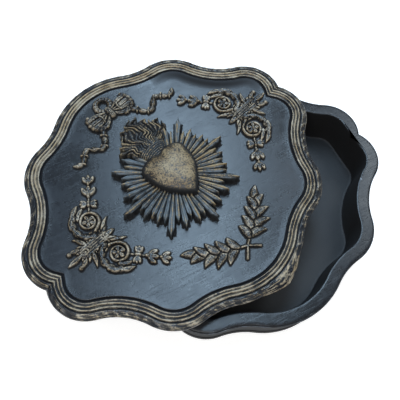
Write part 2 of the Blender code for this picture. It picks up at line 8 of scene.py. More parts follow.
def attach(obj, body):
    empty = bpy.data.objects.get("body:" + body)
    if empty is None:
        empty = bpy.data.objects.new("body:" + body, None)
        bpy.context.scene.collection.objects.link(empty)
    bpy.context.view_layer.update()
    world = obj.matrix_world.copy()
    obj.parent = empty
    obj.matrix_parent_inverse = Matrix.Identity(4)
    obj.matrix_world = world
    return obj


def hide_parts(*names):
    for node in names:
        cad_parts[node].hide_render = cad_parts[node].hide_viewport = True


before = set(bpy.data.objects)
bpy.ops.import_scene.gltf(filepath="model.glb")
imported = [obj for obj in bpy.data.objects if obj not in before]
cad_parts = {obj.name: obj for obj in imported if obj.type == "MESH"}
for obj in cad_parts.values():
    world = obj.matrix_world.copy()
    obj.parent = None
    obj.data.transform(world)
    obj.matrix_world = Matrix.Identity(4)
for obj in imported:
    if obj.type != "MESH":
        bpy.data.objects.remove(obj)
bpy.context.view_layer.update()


# Camera. It stands where the photograph was taken, near the left end of the lid, and looks
# down on the box at about 66 degrees.
camera_data = bpy.data.cameras.new("camera")
camera_data.lens = 44.28
camera_data.sensor_width = 36.0
camera_data.clip_start = 0.01
camera = bpy.data.objects.new("camera", camera_data)
bpy.context.scene.collection.objects.link(camera)
camera_right = (0.8879, -0.4600, 0.0135)
camera_up = (0.4165, 0.8158, 0.4015)
camera_ahead = (0.1956, 0.3508, -0.9158)
camera_place = (-0.0915, -0.1152, 0.3521)
camera.matrix_world = Matrix([
    (camera_right[axis], camera_up[axis], -camera_ahead[axis], camera_place[axis]) for axis in range(3)
] + [(0.0, 0.0, 0.0, 1.0)])
bpy.context.scene.camera = camera


# Floor and light. A glowing white table top, and over it a long and a short soft light that lay
# a bluish sheen on the lid, one for the box's rim, a weak front light and a dim even surround.
FLOOR_HALF = 3.0
floor_mesh = bpy.data.meshes.new("floor")
floor_mesh.from_pydata([(-FLOOR_HALF, -FLOOR_HALF, 0.0), (FLOOR_HALF, -FLOOR_HALF, 0.0),
                        (FLOOR_HALF, FLOOR_HALF, 0.0), (-FLOOR_HALF, FLOOR_HALF, 0.0)], [], [(0, 1, 2, 3)])
floor = bpy.data.objects.new("floor", floor_mesh)
bpy.context.scene.collection.objects.link(floor)
floor_finish = bpy.data.materials.new("white_table")
floor_finish.use_nodes = True
floor_shader = floor_finish.node_tree.nodes["Principled BSDF"]
floor_shader.inputs["Base Color"].default_value = (0.90, 0.90, 0.90, 1.0)
floor_shader.inputs["Roughness"].default_value = 0.8
floor_shader.inputs["Emission Color"].default_value = (1.0, 1.0, 1.0, 1.0)
floor_shader.inputs["Emission Strength"].default_value = 0.55
floor_mesh.materials.append(floor_finish)


def soft_light(name, place, target, width, depth, watts, tint):
    """A rectangular lamp, in metres and watts, turned to face its target."""
    lamp_data = bpy.data.lights.new(name, "AREA")
    lamp_data.shape = "RECTANGLE"
    lamp_data.size = width
    lamp_data.size_y = depth
    lamp_data.energy = watts
    lamp_data.color = tint
    lamp = bpy.data.objects.new(name, lamp_data)
    bpy.context.scene.collection.objects.link(lamp)
    ray = Matrix.Translation(target).to_translation() - Matrix.Translation(place).to_translation()
    lamp.matrix_world = Matrix.Translation(place) @ ray.to_track_quat("-Z", "Y").to_matrix().to_4x4()


LID_MIDDLE = (0.0, 0.0, 0.05)
SHEEN_TINT = (0.56, 0.78, 1.0)
soft_light("sheen_light", (0.22, 0.54, 1.0), LID_MIDDLE, 0.28, 0.60, 7.0, SHEEN_TINT)
soft_light("near_sheen_light", (0.02, 0.14, 1.0), LID_MIDDLE, 0.34, 0.14, 2.3, SHEEN_TINT)
soft_light("rim_light", (0.70, 0.20, 0.95), (0.05, 0.0, 0.04), 0.36, 0.36, 2.6, (0.78, 0.90, 1.0))
soft_light("front_light", (-0.55, -0.45, 1.3), (0.0, 0.0, 0.03), 0.8, 0.8, 9.0, (1.0, 0.98, 0.95))
surround = bpy.data.worlds.new("surround")
bpy.context.scene.world = surround
surround.use_nodes = True
surround_light = surround.node_tree.nodes["Background"]
surround_light.inputs["Color"].default_value = (0.95, 0.97, 1.0, 1.0)
surround_light.inputs["Strength"].default_value = 0.24
bpy.context.scene.view_settings.view_transform = "Standard"


# Box. A heavy cast tray of black resin with a scalloped wall, set back under a stepped lip and
# over a low foot, a flat rim, and a plain hollow that runs straight past the notches.
NOTCH_LOBE = (86.6, 12.6)
NOTCH_LOBE_RADIUS = 15.0
NOTCH_FLANK_LEAN = radians(30.6)
CORNER_LOBE = (48.5, 51.5)
CORNER_LOBE_RADIUS = 20.3
END_LOBE = (0.0, 44.0)
END_LOBE_RADIUS = 45.0
SIDE_HOLLOW_RADIUS = 58.0
END_HOLLOW_RADIUS = 60.0


def hollow_centre(first, first_radius, second, second_radius, hollow_radius):
    """Centre of the hollow arc that touches two lobes from outside."""
    reach_first = first_radius + hollow_radius
    reach_second = second_radius + hollow_radius
    span = hypot(second[0] - first[0], second[1] - first[1])
    along = (span ** 2 + reach_first ** 2 - reach_second ** 2) / (2 * span)
    across = sqrt(reach_first ** 2 - along ** 2)
    ux, uy = (second[0] - first[0]) / span, (second[1] - first[1]) / span
    return (first[0] + ux * along + uy * across, first[1] + uy * along - ux * across)


# Roughly how long each stretch of a quarter of the outline is, in mm, which sets its steps.
ARC_LENGTHS = {"flank": 6.0, "notch lobe": 24.0, "side hollow": 42.0, "corner lobe": 23.0,
               "end hollow": 28.0, "end lobe": 27.0}


def scalloped_outline(pitch, flank_lean=NOTCH_FLANK_LEAN):
    """Points of the outline in mm, and how far each moves for every mm of offset.

    With a flank_lean of zero a straight edge runs past each notch.
    """
    side_hollow = hollow_centre(NOTCH_LOBE, NOTCH_LOBE_RADIUS, CORNER_LOBE, CORNER_LOBE_RADIUS,
                                SIDE_HOLLOW_RADIUS)
    end_hollow = hollow_centre(CORNER_LOBE, CORNER_LOBE_RADIUS, END_LOBE, END_LOBE_RADIUS,
                               END_HOLLOW_RADIUS)

    def heading(start, end):
        return atan2(end[1] - start[1], end[0] - start[0])

    notch_x = NOTCH_LOBE[0] - tan(flank_lean) * NOTCH_LOBE[1] + NOTCH_LOBE_RADIUS / cos(flank_lean)
    flank = (notch_x, 0.0, 1.0 / cos(flank_lean), 0.0)
    lobe_foot = (NOTCH_LOBE[0] + NOTCH_LOBE_RADIUS * cos(flank_lean),
                 NOTCH_LOBE[1] - NOTCH_LOBE_RADIUS * sin(flank_lean), cos(flank_lean), -sin(flank_lean))
    flank_steps = round(ARC_LENGTHS["flank"] / pitch)
    quarter = [tuple(start + (end - start) * step / flank_steps for start, end in zip(flank, lobe_foot))
               for step in range(flank_steps)]
    for arc_name, centre, radius, start, end, outward in (
            ("notch lobe", NOTCH_LOBE, NOTCH_LOBE_RADIUS, -flank_lean, heading(NOTCH_LOBE, side_hollow), 1),
            ("side hollow", side_hollow, SIDE_HOLLOW_RADIUS, heading(side_hollow, NOTCH_LOBE),
             heading(side_hollow, CORNER_LOBE), -1),
            ("corner lobe", CORNER_LOBE, CORNER_LOBE_RADIUS, heading(CORNER_LOBE, side_hollow),
             heading(CORNER_LOBE, end_hollow), 1),
            ("end hollow", end_hollow, END_HOLLOW_RADIUS, heading(end_hollow, CORNER_LOBE),
             heading(end_hollow, END_LOBE), -1),
            ("end lobe", END_LOBE, END_LOBE_RADIUS, heading(END_LOBE, end_hollow), pi / 2, 1)):
        sweep = (end - start + pi) % tau - pi
        steps = round(ARC_LENGTHS[arc_name] / pitch)
        for step in range(steps):
            angle = start + sweep * step / steps
            quarter.append((centre[0] + radius * cos(angle), centre[1] + radius * sin(angle),
                            outward * cos(angle), outward * sin(angle)))
    top = [(0.0, END_LOBE[1] + END_LOBE_RADIUS, 0.0, 1.0)]
    upper = quarter + top + [(-x, y, -push_x, push_y) for x, y, push_x, push_y in reversed(quarter)]
    lower = [(x, -y, push_x, -push_y) for x, y, push_x, push_y in reversed(upper[1:-1])]
    table = np.array(upper + lower)
    return table[:, :2], table[:, 2:]


def add_piece(name, points, faces, finish, marks, place=Matrix.Identity(4)):
    """Link a mesh given in mm, with its marks stored point by point for the finish to read."""
    mesh = bpy.data.meshes.new(name)
    turn = np.array(place.to_3x3())
    placed = np.asarray(points) / 1000.0 @ turn.T + np.array(place.to_translation())
    mesh.from_pydata(placed.tolist(), [], faces)
    for mark, values in marks.items():
        mesh.attributes.new(mark, "FLOAT", "POINT").data.foreach_set("value", np.asarray(values, dtype=np.float32))
    mesh.shade_smooth()
    mesh.materials.append(finish)
    piece = bpy.data.objects.new(name, mesh)
    bpy.context.scene.collection.objects.link(piece)
    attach(piece, "root")
    return piece


def wall_faces(loops, around):
    """Quads between neighbouring loops, then one flat face closes the first loop and one the last."""
    faces = []
    for level in range(loops - 1):
        lower = level * around
        for step in range(around):
            following = (step + 1) % around
            faces.append((lower + step, lower + following, lower + around + following, lower + around + step))
    faces.append(tuple(reversed(range(around))))
    faces.append(tuple(range((loops - 1) * around, loops * around)))
    return faces


def linked_input(tree, node, socket, source):
    tree.links.new(source, node.inputs[socket])


def noise(tree, coordinates, scale, detail, rough):
    texture = tree.nodes.new("ShaderNodeTexNoise")
    texture.inputs["Scale"].default_value = scale
    texture.inputs["Detail"].default_value = detail
    texture.inputs["Roughness"].default_value = rough
    linked_input(tree, texture, "Vector", coordinates)
    return texture.outputs["Fac"]


def stretched(tree, source, low, high, to_low, to_high):
    """Carry the span low to high over to the span to_low to to_high, and hold it there."""
    span = tree.nodes.new("ShaderNodeMapRange")
    for socket, value in (("From Min", low), ("From Max", high), ("To Min", to_low), ("To Max", to_high)):
        span.inputs[socket].default_value = value
    linked_input(tree, span, "Value", source)
    return span.outputs["Result"]


def combined(tree, operation, first, second, limited=False):
    sum_node = tree.nodes.new("ShaderNodeMath")
    sum_node.operation = operation
    sum_node.use_clamp = limited
    for socket, value in ((0, first), (1, second)):
        if isinstance(value, float):
            sum_node.inputs[socket].default_value = value
        else:
            linked_input(tree, sum_node, socket, value)
    return sum_node.outputs[0]


def blended(tree, share, under, over):
    blend = tree.nodes.new("ShaderNodeMix")
    blend.data_type = "RGBA"
    linked_input(tree, blend, 0, share)
    for socket, value in ((6, under), (7, over)):
        if isinstance(value, tuple):
            blend.inputs[socket].default_value = (*value, 1.0)
        else:
            linked_input(tree, blend, socket, value)
    return blend.outputs[2]


def new_group(name, inputs, outputs):
    tree = bpy.data.node_groups.new(name, "ShaderNodeTree")
    for label, kind, value in inputs:
        socket = tree.interface.new_socket(name=label, in_out="INPUT", socket_type=kind)
        socket.default_value = value
    for label, kind in outputs:
        tree.interface.new_socket(name=label, in_out="OUTPUT", socket_type=kind)
    return tree, tree.nodes.new("NodeGroupInput"), tree.nodes.new("NodeGroupOutput")


RESIN_ROUGHNESS = (0.24, 0.36)
BRUSH_TURNS = (radians(38.0), radians(-47.0))
BRUSH_SCALE = (60.0, 1300.0, 400.0)


def make_cast_resin_group():
    """Satin black resin: cloudy bloom, fine scratches in two directions and a soft grain."""
    tree, given, result = new_group(
        "cast_resin",
        (("Dark", "NodeSocketColor", (0.02, 0.025, 0.035, 1.0)),
         ("Bloom", "NodeSocketColor", (0.10, 0.13, 0.17, 1.0)),
         ("Bloom Amount", "NodeSocketFloat", 0.5),
         ("Scratches", "NodeSocketFloat", 0.5)),
        (("Color", "NodeSocketColor"), ("Roughness", "NodeSocketFloat"), ("Height", "NodeSocketFloat")))
    place = tree.nodes.new("ShaderNodeTexCoord").outputs["Object"]
    cloud = noise(tree, place, 22.0, 4.0, 0.6)
    mottle = noise(tree, place, 260.0, 3.0, 0.65)
    strokes = []
    for turn in BRUSH_TURNS:
        lay = tree.nodes.new("ShaderNodeMapping")
        lay.inputs["Rotation"].default_value = (0.0, 0.0, turn)
        lay.inputs["Scale"].default_value = BRUSH_SCALE
        linked_input(tree, lay, "Vector", place)
        strokes.append(noise(tree, lay.outputs["Vector"], 1.0, 2.0, 0.5))
    hatch = combined(tree, "MAXIMUM", strokes[0], strokes[1])
    scratch = combined(tree, "MULTIPLY", stretched(tree, hatch, 0.56, 0.72, 0.0, 1.0),
                       given.outputs["Scratches"])
    bloom = combined(tree, "ADD", stretched(tree, cloud, 0.32, 0.70, 0.0, 1.0),
                     stretched(tree, mottle, 0.35, 0.70, -0.20, 0.26), True)
    bloom = combined(tree, "ADD", bloom, combined(tree, "MULTIPLY", scratch, 0.34), True)
    bloom = combined(tree, "MULTIPLY", bloom, given.outputs["Bloom Amount"], True)
    linked_input(tree, result, "Color", blended(tree, bloom, given.outputs["Dark"], given.outputs["Bloom"]))
    linked_input(tree, result, "Roughness", stretched(tree, bloom, 0.0, 1.0, *RESIN_ROUGHNESS))
    grain = combined(tree, "MULTIPLY", mottle, 0.5)
    scored = combined(tree, "MULTIPLY", scratch, 0.4)
    linked_input(tree, result, "Height", combined(tree, "SUBTRACT", grain, scored))
    return tree


# Painted shade: the near black laid into hollows, grooves and the sides of forms.
PAINTED_SHADE_BLACK = (0.003, 0.003, 0.004)
GILT_DULLS = 0.22
SHADE_DULLS = 0.60
GILT_METAL = 0.25


def make_rubbed_gilt_group():
    """Dry-brushed pale gilt that catches raised parts, over near black painted into hollows as shade."""
    tree, given, result = new_group(
        "rubbed_gilt",
        (("Color", "NodeSocketColor", (0.02, 0.02, 0.03, 1.0)),
         ("Gilt", "NodeSocketColor", (0.5, 0.4, 0.26, 1.0)),
         ("Pale Gilt", "NodeSocketColor", (0.36, 0.30, 0.22, 1.0)),
         ("Raised", "NodeSocketFloat", 0.0),
         ("Shade", "NodeSocketFloat", 0.0),
         ("Cover", "NodeSocketFloat", 0.5),
         ("Speckle", "NodeSocketFloat", 0.5),
         ("Roughness", "NodeSocketFloat", 0.3)),
        (("Color", "NodeSocketColor"), ("Gilded", "NodeSocketFloat"), ("Roughness", "NodeSocketFloat")))
    place = tree.nodes.new("ShaderNodeTexCoord").outputs["Object"]
    patches = noise(tree, place, 120.0, 4.0, 0.6)
    specks = noise(tree, place, 900.0, 3.0, 0.7)
    grip = combined(tree, "ADD", given.outputs["Raised"],
                    stretched(tree, patches, 0.3, 0.7, -0.28, 0.28))
    speck = combined(tree, "MULTIPLY", stretched(tree, specks, 0.3, 0.7, -0.6, 0.6), given.outputs["Speckle"])
    grip = combined(tree, "ADD", grip, speck)
    bare = combined(tree, "SUBTRACT", 1.0, given.outputs["Cover"])
    gilded = combined(tree, "SUBTRACT", grip, bare)
    gilded = stretched(tree, gilded, -0.12, 0.42, 0.0, 1.0)
    tint = blended(tree, stretched(tree, patches, 0.35, 0.65, 0.0, 1.0), given.outputs["Gilt"],
                   given.outputs["Pale Gilt"])
    coloured = blended(tree, gilded, given.outputs["Color"], tint)
    shaded_colour = blended(tree, given.outputs["Shade"], coloured, PAINTED_SHADE_BLACK)
    linked_input(tree, result, "Color", shaded_colour)
    unshaded = combined(tree, "SUBTRACT", 1.0, given.outputs["Shade"])
    linked_input(tree, result, "Gilded", combined(tree, "MULTIPLY", gilded, unshaded))
    duller = combined(tree, "ADD", combined(tree, "MULTIPLY", gilded, GILT_DULLS),
                      combined(tree, "MULTIPLY", given.outputs["Shade"], SHADE_DULLS))
    linked_input(tree, result, "Roughness", combined(tree, "ADD", given.outputs["Roughness"], duller, True))
    return tree


cast_resin = make_cast_resin_group()
rubbed_gilt = make_rubbed_gilt_group()


def resin_finish(name, dark, bloom, bloom_amount, scratches, gilt, pale_gilt, cover, speckle,
                 bump=0.00012, bloom_marked=False):
    """A resin material with gilt in two shades where its piece is marked as raised."""
    finish = bpy.data.materials.new(name)
    finish.use_nodes = True
    tree = finish.node_tree
    shader = tree.nodes["Principled BSDF"]

    def placed_group(group, values):
        placed = tree.nodes.new("ShaderNodeGroup")
        placed.node_tree = group
        for label, value in values:
            placed.inputs[label].default_value = (*value, 1.0) if isinstance(value, tuple) else value
        return placed

    def mark_reader(mark):
        reader = tree.nodes.new("ShaderNodeAttribute")
        reader.attribute_name = mark
        return reader.outputs["Fac"]

    resin = placed_group(cast_resin, (("Dark", dark), ("Bloom", bloom), ("Bloom Amount", bloom_amount),
                                      ("Scratches", scratches)))
    if bloom_marked:
        linked_input(tree, resin, "Bloom Amount", combined(tree, "MULTIPLY", mark_reader("bloom"), bloom_amount))
    brushed = placed_group(rubbed_gilt, (("Gilt", gilt), ("Pale Gilt", pale_gilt), ("Cover", cover),
                                         ("Speckle", speckle)))
    # Each piece's shade mark says where black is painted as shade.
    for socket, source in (("Color", resin.outputs["Color"]), ("Roughness", resin.outputs["Roughness"]),
                           ("Raised", mark_reader("raised")), ("Shade", mark_reader("shade_mark"))):
        linked_input(tree, brushed, socket, source)
    linked_input(tree, shader, "Base Color", brushed.outputs["Color"])
    linked_input(tree, shader, "Metallic", combined(tree, "MULTIPLY", brushed.outputs["Gilded"], GILT_METAL))
    linked_input(tree, shader, "Roughness", brushed.outputs["Roughness"])
    relief = tree.nodes.new("ShaderNodeBump")
    relief.inputs["Strength"].default_value = 1.0
    relief.inputs["Distance"].default_value = bump
    linked_input(tree, relief, "Height", resin.outputs["Height"])
    linked_input(tree, shader, "Normal", relief.outputs["Normal"])
    return finish


# Offset from the outline, height, how far the edges are rubbed pale, and how much painted shade darkens that ring.
box_outside = [
    (6.6, 0.0, 0.0, 0.9), (7.3, 0.15, 0.0, 0.9), (7.6, 0.7, 0.0, 0.9), (7.6, 6.2, 0.0, 0.9),
    (7.45, 6.85, 0.0, 0.9), (7.0, 7.0, 0.0, 0.9), (7.0, 7.8, 0.0, 0.9), (7.0, 30.6, 0.0, 0.9),
    (7.1, 31.4, 0.0, 0.9), (8.9, 31.95, 0.0, 0.9), (9.4, 32.5, 0.0, 0.9), (9.4, 34.5, 0.0, 0.9), (9.32, 34.9, 0.0, 0.5),
    (9.1, 35.0, 0.6, 0.0), (8.8, 35.0, 0.0, 1.0), (8.4, 35.06, 0.0, 1.0), (8.38, 35.6, 0.0, 0.9),
    (8.25, 35.92, 0.30, 0.0), (7.9, 36.0, 0.0, 0.0), (6.2, 36.0, 0.0, 0.0), (5.2, 36.0, 0.0, 0.0),
    (4.6, 36.0, 0.0, 0.0), (3.9, 36.0, 0.0, 0.0), (3.2, 36.0, 0.0, 0.0), (2.6, 36.0, 0.0, 0.0),
]
box_inside = [
    (1.3, 36.0, 0.0, 0.0), (0.5, 35.95, 0.0, 0.1), (0.15, 35.75, 0.0, 0.5), (0.0, 35.3, 0.0, 0.9),
    (-0.1, 33.5, 0.0, 1.0), (-0.5, 25.0, 0.0, 1.0), (-1.1, 14.0, 0.0, 1.0), (-1.5, 5.8, 0.0, 0.9),
    (-1.7, 5.25, 0.0, 0.8), (-2.1, 5.0, 0.0, 0.6), (-3.6, 5.0, 0.0, 0.45),
]
BOX_PITCH = 1.2
box_loops = []
box_marks = []
box_painted_shade = []
for box_profile, flank_lean in ((box_outside, NOTCH_FLANK_LEAN), (box_inside, 0.0)):
    outline_points, outline_push = scalloped_outline(BOX_PITCH, flank_lean)
    for box_offset, box_level, rubbed, painted_shade in box_profile:
        ring = outline_points + outline_push * box_offset
        box_loops.append(np.column_stack([ring, np.full(len(ring), box_level)]))
        box_marks.append(np.full(len(ring), rubbed))
        box_painted_shade.append(np.full(len(ring), painted_shade))
box_points = np.concatenate(box_loops)
box_raised = np.concatenate(box_marks)
RIM_CHIP = (86.5, -31.5, 36.0)
RIM_CHIP_RADIUS = 1.1
RIM_CHIP_PALENESS = 1.2
chipped = (np.hypot(*(box_points - RIM_CHIP)[:, :2].T) < RIM_CHIP_RADIUS) & (box_points[:, 2] > RIM_CHIP[2] - 0.1)
box_raised = np.where(chipped, RIM_CHIP_PALENESS, box_raised)
box_finish = resin_finish("black_resin", (0.002, 0.0025, 0.0035), (0.011, 0.015, 0.022), 0.6, 0.6,
                          gilt=(0.20, 0.22, 0.25), pale_gilt=(0.30, 0.32, 0.35), cover=0.55, speckle=0.25)
box_piece = add_piece("box_tray", box_points, wall_faces(len(box_loops), len(outline_points)), box_finish,
                      {"raised": box_raised, "shade_mark": np.concatenate(box_painted_shade)})
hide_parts("box")


# Lid. A heavy cast plate with the same outline: a smooth field, a sharp groove, three rubbed
# ridges, a rounded band of slanting leaves and a worn lip. It only lies on the rim, askew.
LID_FIELD = 12.0
LID_TURN = radians(17.7)
lid_place = Matrix.Translation((-0.0353, 0.0243, 0.0363)) @ Matrix.Rotation(LID_TURN, 4, "Z")


def bulge(offset, middle, width, rise):
    return rise * np.exp(-((offset - middle) / width) ** 2)


def bulges(offset, table):
    return sum(bulge(offset, middle, width, rise) for middle, width, rise in table)


# Each row gives the offset from the groove, the width, and the rise, or the strength of a mark.
LID_MOULDINGS = ((0.0, 0.50, -1.5), (1.5, 0.50, 0.25), (2.5, 0.30, -0.30), (3.5, 0.60, 0.70), (4.8, 0.30, -0.40),
                 (5.8, 0.60, 0.45), (7.15, 0.35, -0.95))
RUBBED_RIDGES = ((3.5, 0.60, 0.65), (5.8, 0.60, 0.60), (1.5, 0.45, 0.45))
# The groove round the field and the dips between the ridges get painted shade.
SHADED_GROOVES = ((0.0, 0.45, 1.0), (2.5, 0.25, 0.30), (4.8, 0.25, 0.35), (7.15, 0.35, 0.8))
FIELD_SWELL = 0.25
FIELD_SWELL_REACH = 6.0
LEAF_PITCH = 7.4
LEAF_SLANT = 0.55
LEAF_DEPTH = 0.65
LIP_MIDDLE = 1.5
LIP_HALF_WIDTH = 15.0
LIP_SIDE_Y = -60.0
LIP_REACH = 4.2
LID_PITCH = 0.75
# Where the painted sheen and painted shade on the ridges reach full strength, in mm.
SHADE_FULL_X = -90.0
SHEEN_FULL_Y = 80.0
# The side of the lid in section, from its underside up over the band: offset and height.
BAND_PATH = np.array([(9.6, 0.0), (10.05, 0.5), (10.5, 3.2), (11.2, 6.3), (11.8, 9.2), (11.75, 10.2), (11.3, 11.1),
                      (10.4, 11.75), (9.3, 12.1), (8.5, 12.2), (7.9, 12.05)])
BAND_FOOT = 0.62
lid_points, lid_push = scalloped_outline(LID_PITCH)
lid_steps = np.hypot(*(np.roll(lid_points, -1, axis=0) - lid_points).T)
lid_run = np.concatenate([[0.0], np.cumsum(lid_steps)[:-1]])
lid_run = lid_run * round(lid_steps.sum() / LEAF_PITCH) * LEAF_PITCH / lid_steps.sum()
lip = np.clip(1.0 - np.abs(lid_points[:, 0] - LIP_MIDDLE) / LIP_HALF_WIDTH, 0.0, 1.0)
lip = lip * (lid_points[:, 1] < LIP_SIDE_Y)
chatter = np.random.default_rng(5)


def uneven(reach):
    """A wavering value along the outline, smoothed over reach points."""
    rough = chatter.normal(0.0, 1.0, len(lid_points) + reach - 1)
    return np.convolve(rough, np.ones(reach) / sqrt(reach), "valid")


wear = uneven(5)
# A patch just inside the groove, from the +X notch round towards the +Y end, is darkened and sunk a little: partly
# smudged dirt on the resin, partly painted shade where the sheen falls away.
SMUDGE_AND_SHADE_MIDDLE = 54.0
SMUDGE_AND_SHADE_HALF = 48.0
FIELD_ROLL = 1.0
smudge_and_shade = np.clip(1.0 - ((lid_run - SMUDGE_AND_SHADE_MIDDLE) / SMUDGE_AND_SHADE_HALF) ** 2, 0.0, 1.0) ** 0.7
# Painted sheen and shade on the moulded ridges: the gilt share rises towards the far +Y side and falls towards the -X
# end, as the light falls.
painted_sheen_and_shade = (0.22 * np.clip(lid_points[:, 1] / SHEEN_FULL_Y, 0.0, 1.0)
              - 0.10 * np.clip(lid_points[:, 0] / SHADE_FULL_X, 0.0, 1.0))
lid_loops = []
lid_raised = []
lid_shade = []


def add_lid_loop(offset, level, raised, shade_mark):
    ring = lid_points + lid_push * np.reshape(offset, (-1, 1))
    lid_loops.append(np.column_stack([ring, np.broadcast_to(level, len(ring))]))
    lid_raised.append(np.broadcast_to(raised, len(ring)))
    lid_shade.append(np.broadcast_to(shade_mark, len(ring)))


def lid_top(offset):
    """Height of the lid's upper side at an offset from the groove."""
    level = LID_FIELD + FIELD_SWELL * np.clip((offset + FIELD_SWELL_REACH) / FIELD_SWELL_REACH, 0.0, 1.0) ** 2
    for middle, width, rise in LID_MOULDINGS:
        level += bulge(offset, middle, width, rise)
    return level


band_lengths = np.concatenate([[0.0], np.cumsum(np.hypot(*(BAND_PATH[1:] - BAND_PATH[:-1]).T))])
band_shares = band_lengths / band_lengths[-1]
BAND_SHARES = np.concatenate([[0.0, 0.03], np.arange(0.12, BAND_FOOT, 0.1), np.linspace(BAND_FOOT, 1.0, 17)])
for band_share in BAND_SHARES:
    band_offset = np.interp(band_share, band_shares, BAND_PATH[:, 0])
    band_level = np.interp(band_share, band_shares, BAND_PATH[:, 1])
    rise = max(0.0, (band_share - BAND_FOOT) / (1.0 - BAND_FOOT))
    slanted = lid_run / LEAF_PITCH + LEAF_SLANT * rise
    leaf = 0.5 + 0.5 * np.cos(tau * slanted)
    rib = 0.5 + 0.5 * np.cos(3.0 * tau * slanted - 2.2 * rise)
    window = np.clip(sin(pi * min(1.0, max(0.0, (rise - 0.20) / 0.74))), 0.0, 1.0) ** 0.6
    window = window * (1.0 - 0.8 * lip ** 0.3)
    sunk = np.clip(1.3 * (1.0 - leaf) ** 1.5, 0.0, 1.0) * window
    edge_line = float(bulge(rise, 0.10, 0.06, 1.0) + bulge(rise, 0.97, 0.05, 0.5)) * (rise > 0.0)
    drawn_out = LIP_REACH * lip * (1.0 - 0.95 * rise ** 2)
    drawn_out = drawn_out + 0.30 * wear * (lip > 0.05) * (0.2 + rise * (1 - rise))
    carved = LEAF_DEPTH * sunk + 0.12 * window * (1.0 - rib)
    lip_dip = 0.5 * lip * (rise > 0.0) * (1.0 - rise)
    brushed_band = (0.26 + 0.40 * leaf * rib * window + 0.50 * edge_line + 0.26 * uneven(10)
                    + 0.30 * max(0.0, cos(tau * 3.5 * rise)) * (0.6 + 0.5 * uneven(6))
                    + (0.25 + 0.25 * np.clip(uneven(4), -1.0, 1.0)) * (lip > 0.05))
    # The leaf hollows and the lid's side below the band get painted shade, less on the lip.
    add_lid_loop(band_offset + drawn_out, band_level - carved - lip_dip,
                 np.clip(brushed_band * (rise > 0.0), 0.0, 1.0),
                 np.clip(0.75 * sunk - 0.1 + 0.75 * (rise == 0.0), 0.0, 1.0) * (1.0 - 0.7 * lip))
for top_offset in np.concatenate([np.arange(7.75, -1.8, -0.17), np.arange(-2.0, -10.0, -0.6)]):
    rubbed = float(bulges(top_offset, RUBBED_RIDGES))
    if 0.8 < top_offset < 7.0:
        rubbed = rubbed + (0.30 + painted_sheen_and_shade + 0.14 * uneven(14) + 0.08 * uneven(3))
    # Painted shade in the grooves, and the darkened patch near the field's edge.
    shade_and_smudge = float(bulges(top_offset, SHADED_GROOVES))
    level = float(lid_top(np.array(top_offset)))
    if top_offset < -0.5:
        shade_and_smudge = shade_and_smudge + smudge_and_shade * float(bulge(top_offset, -3.6, 4.2, 1.0))
        level = level - FIELD_ROLL * smudge_and_shade * np.clip((top_offset + 10.0) / 9.0, 0.0, 1.0) ** 2
    add_lid_loop(np.full(len(lid_run), top_offset), level, np.clip(rubbed, 0.0, 1.0), np.clip(shade_and_smudge, 0.0, 1.0))
lid_finish = resin_finish("black_resin_gilt_edge", (0.002, 0.003, 0.005), (0.013, 0.018, 0.027), 0.65, 0.6,
                          gilt=(0.37, 0.265, 0.14), pale_gilt=(0.39, 0.335, 0.25), cover=0.46, speckle=0.35)
lid_marks = {"raised": np.concatenate(lid_raised), "shade_mark": np.concatenate(lid_shade)}
lid_piece = add_piece("lid_plate", np.concatenate(lid_loops), wall_faces(len(lid_loops), len(lid_run)), lid_finish,
                      lid_marks, lid_place)
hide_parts("lid")


# Sacred heart. One thick casting glued to the middle of the lid: a ring of ridged rays, a
# smooth domed heart, a neck bound with cords, and a mass of wavy flames.
MOAT_FLOOR = 0.7
VEIN_HALF = 0.32


class Relief:
    """Heights in mm over a casting's own plane, built up from strokes as a carver would."""

    def __init__(self, left, right, low, high, pitch):
        self.left, self.low, self.pitch = left, low, pitch
        self.x, self.y = np.meshgrid(np.arange(left, right + pitch / 2, pitch),
                                     np.arange(low, high + pitch / 2, pitch))
        self.height = np.zeros_like(self.x)

    def stroke(self, spine, half_width, crest, fullness=3.0, vein=0.0, flutes=0.0, flute_pitch=1.2, moat=0.0):
        """Raise a rounded ridge along a spine; half_width and crest follow the share of its length.

        A moat cuts what lies under the stroke back by that much all round it.
        """
        spine = np.asarray(spine, dtype=float)
        lengths = np.hypot(*(spine[1:] - spine[:-1]).T)
        reached = np.concatenate([[0.0], np.cumsum(lengths)]) / lengths.sum()
        widest = max(half_width(share) for share in np.linspace(0.0, 1.0, 25)) + moat
        under = self.height.copy()
        over = np.zeros_like(self.height)
        for index, length in enumerate(lengths):
            start, end = spine[index], spine[index + 1]
            part = tuple(
                slice(*(max(int((value - edge) / self.pitch), 0) for value in
                        (min(start[axis], end[axis]) - widest,
                         max(start[axis], end[axis]) + widest + 2 * self.pitch)))
                for axis, edge in ((1, self.low), (0, self.left)))
            x, y = self.x[part], self.y[part]
            if x.size == 0:
                continue
            step_x, step_y = (end - start) / length
            along = (x - start[0]) * step_x + (y - start[1]) * step_y
            held = np.clip(along, 0.0, length)
            side = -(x - start[0]) * step_y + (y - start[1]) * step_x
            away = np.hypot(x - start[0] - held * step_x, y - start[1] - held * step_y)
            share = reached[index] + (reached[index + 1] - reached[index]) * held / length
            wide = np.maximum(half_width(share), 1e-3)
            ratio = np.clip(away / wide, 0.0, 1.0)
            level = crest(share) * (1.0 - ratio ** fullness) ** (1.0 / fullness)
            if vein:
                level -= vein * np.exp(-(away / VEIN_HALF) ** 2) * (ratio < 0.98)
            if flutes:
                level += flutes * np.cos(tau * side / flute_pitch) * (1.0 - ratio ** 2)
            level[ratio >= 1.0] = 0.0
            under[part] = np.where(away < wide + moat, np.minimum(under[part], MOAT_FLOOR), under[part])
            over[part] = np.maximum(over[part], level)
        self.height = np.maximum(under if moat else self.height, over)


